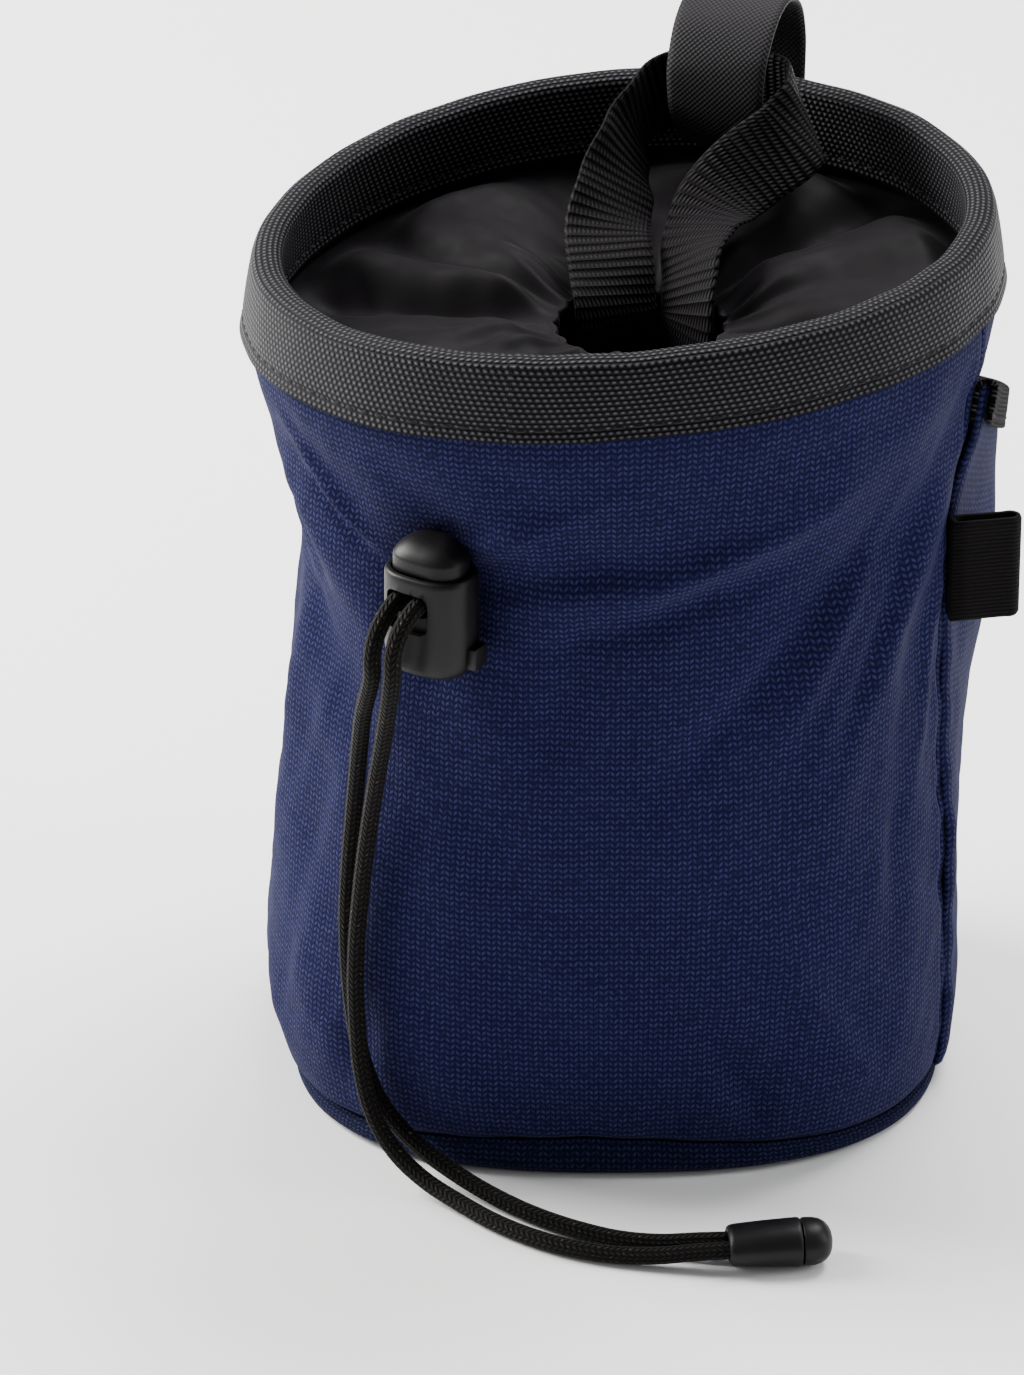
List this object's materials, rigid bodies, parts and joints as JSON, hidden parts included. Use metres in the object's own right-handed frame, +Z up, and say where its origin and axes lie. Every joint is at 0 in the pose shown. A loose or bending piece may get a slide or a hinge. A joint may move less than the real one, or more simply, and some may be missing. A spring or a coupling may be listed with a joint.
{
  "type": "climbing chalk bag",
  "caption": "Round cloth chalk bag with a bound rim, gathered drawcord collar, cord lock, hanging loop, waist belt, rear pocket and elastic brush loop.",
  "frame": {"origin": "middle of the base's flat underside, on the floor", "axes": "+Z up through the mouth, -Y the front with the cord lock, +Y the back with the pocket and the hanging loop, +X the side with the brush loop"},
  "size_m": [0.1441, 0.1519, 0.1895],
  "materials": {
    "navy_cloth": "matt woven cloth with fine upright lines",
    "base_cloth": "matt woven cloth",
    "charcoal_webbing": "ribbed twill webbing",
    "black_webbing": "woven webbing",
    "collar_cloth": "thin cloth with a soft sheen",
    "black_elastic": "matt ribbed elastic",
    "black_plastic": "semi-gloss moulded",
    "black_cord": "fine round braid"
  },
  "bodies": {
    "bag": {"front_panel": "navy_cloth", "rear_panel": "navy_cloth", "base_panel": "base_cloth", "rim_binding": "charcoal_webbing", "collar": "collar_cloth", "hang_loop": "black_webbing", "waist_belt": "black_webbing", "rear_pocket": "navy_cloth", "pocket_binding": "black_webbing", "brush_loop": "black_elastic", "cord_lock_body": "black_plastic", "cord_left": "black_cord", "cord_right": "black_cord", "drawcord_left": "black_cord", "drawcord_right": "black_cord", "cord_end_bell": "black_plastic", "cord_end_cap": "black_plastic"},
    "lock_button": {"cord_lock_button": "black_plastic"}
  },
  "joints": [
    {"name": "button_press", "type": "slide", "parent": "bag", "child": "lock_button", "axis": [0, 0, -1], "range_m": [0, 0.0025], "stiffness_N_per_m": 1200, "springref_m": -0.003}
  ]
}
